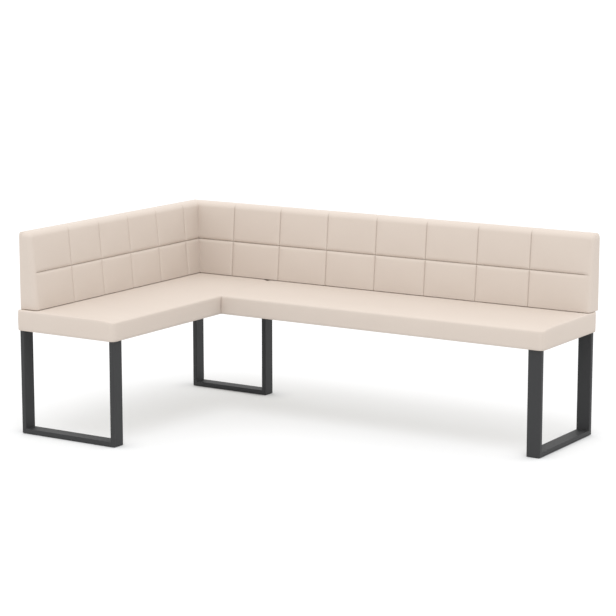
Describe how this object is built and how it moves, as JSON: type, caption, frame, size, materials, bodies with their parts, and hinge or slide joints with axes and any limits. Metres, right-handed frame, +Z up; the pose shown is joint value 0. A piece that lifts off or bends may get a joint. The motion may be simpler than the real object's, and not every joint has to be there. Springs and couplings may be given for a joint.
{
  "type": "corner bench",
  "caption": "L-shaped upholstered corner bench with quilted backs on steel runner frames, for a dining table in a corner.",
  "frame": {"origin": "centre of the bounding box on the floor", "axes": "+X along the long back towards the open end, +Y back to the wall behind the long back, +Z up"},
  "size_m": [2.05, 1.2884, 0.85],
  "materials": {
    "upholstery": "satin",
    "frame_paint": "matte",
    "bracket_paint": "matte",
    "zinc_steel": "satin",
    "glide_plastic": "matte",
    "dust_cloth": "matte",
    "foam": "matte",
    "plywood": "matte",
    "softwood": "matte"
  },
  "bodies": {
    "root": {"corner_frame_bolts": "zinc_steel", "corner_frame_glides": "glide_plastic", "corner_frame_inner_post": "frame_paint", "corner_frame_mounting_plates": "bracket_paint", "corner_frame_outer_post": "frame_paint", "corner_frame_runner": "frame_paint", "corner_frame_tee_nuts": "zinc_steel", "left_frame_bolts": "zinc_steel", "left_frame_glides": "glide_plastic", "left_frame_inner_post": "frame_paint", "left_frame_mounting_plates": "bracket_paint", "left_frame_outer_post": "frame_paint", "left_frame_runner": "frame_paint", "left_frame_tee_nuts": "zinc_steel", "long_back_bar_back_screws": "zinc_steel", "long_back_bar_seat_screws": "zinc_steel", "long_back_bars": "bracket_paint", "long_back_board": "plywood", "long_back_foam": "foam", "long_back_quilted_cover": "upholstery", "long_back_rear_cover": "upholstery", "long_seat_bearer": "softwood", "long_seat_board": "plywood", "long_seat_cover": "upholstery", "long_seat_cross_rails": "softwood", "long_seat_dust_cover": "dust_cloth", "long_seat_foam": "foam", "long_seat_rails": "softwood", "right_frame_bolts": "zinc_steel", "right_frame_front_post": "frame_paint", "right_frame_glides": "glide_plastic", "right_frame_mounting_plates": "bracket_paint", "right_frame_rear_post": "frame_paint", "right_frame_runner": "frame_paint", "right_frame_tee_nuts": "zinc_steel", "seat_joining_bolts": "zinc_steel", "seat_joining_nuts": "zinc_steel", "short_back_bar_back_screws": "zinc_steel", "short_back_bar_seat_screws": "zinc_steel", "short_back_bars": "bracket_paint", "short_back_board": "plywood", "short_back_foam": "foam", "short_back_quilted_cover": "upholstery", "short_back_rear_cover": "upholstery", "short_seat_bearers": "softwood", "short_seat_board": "plywood", "short_seat_cover": "upholstery", "short_seat_cross_rails": "softwood", "short_seat_dust_cover": "dust_cloth", "short_seat_foam": "foam", "short_seat_side_rails": "softwood"}
  },
  "joints": []
}
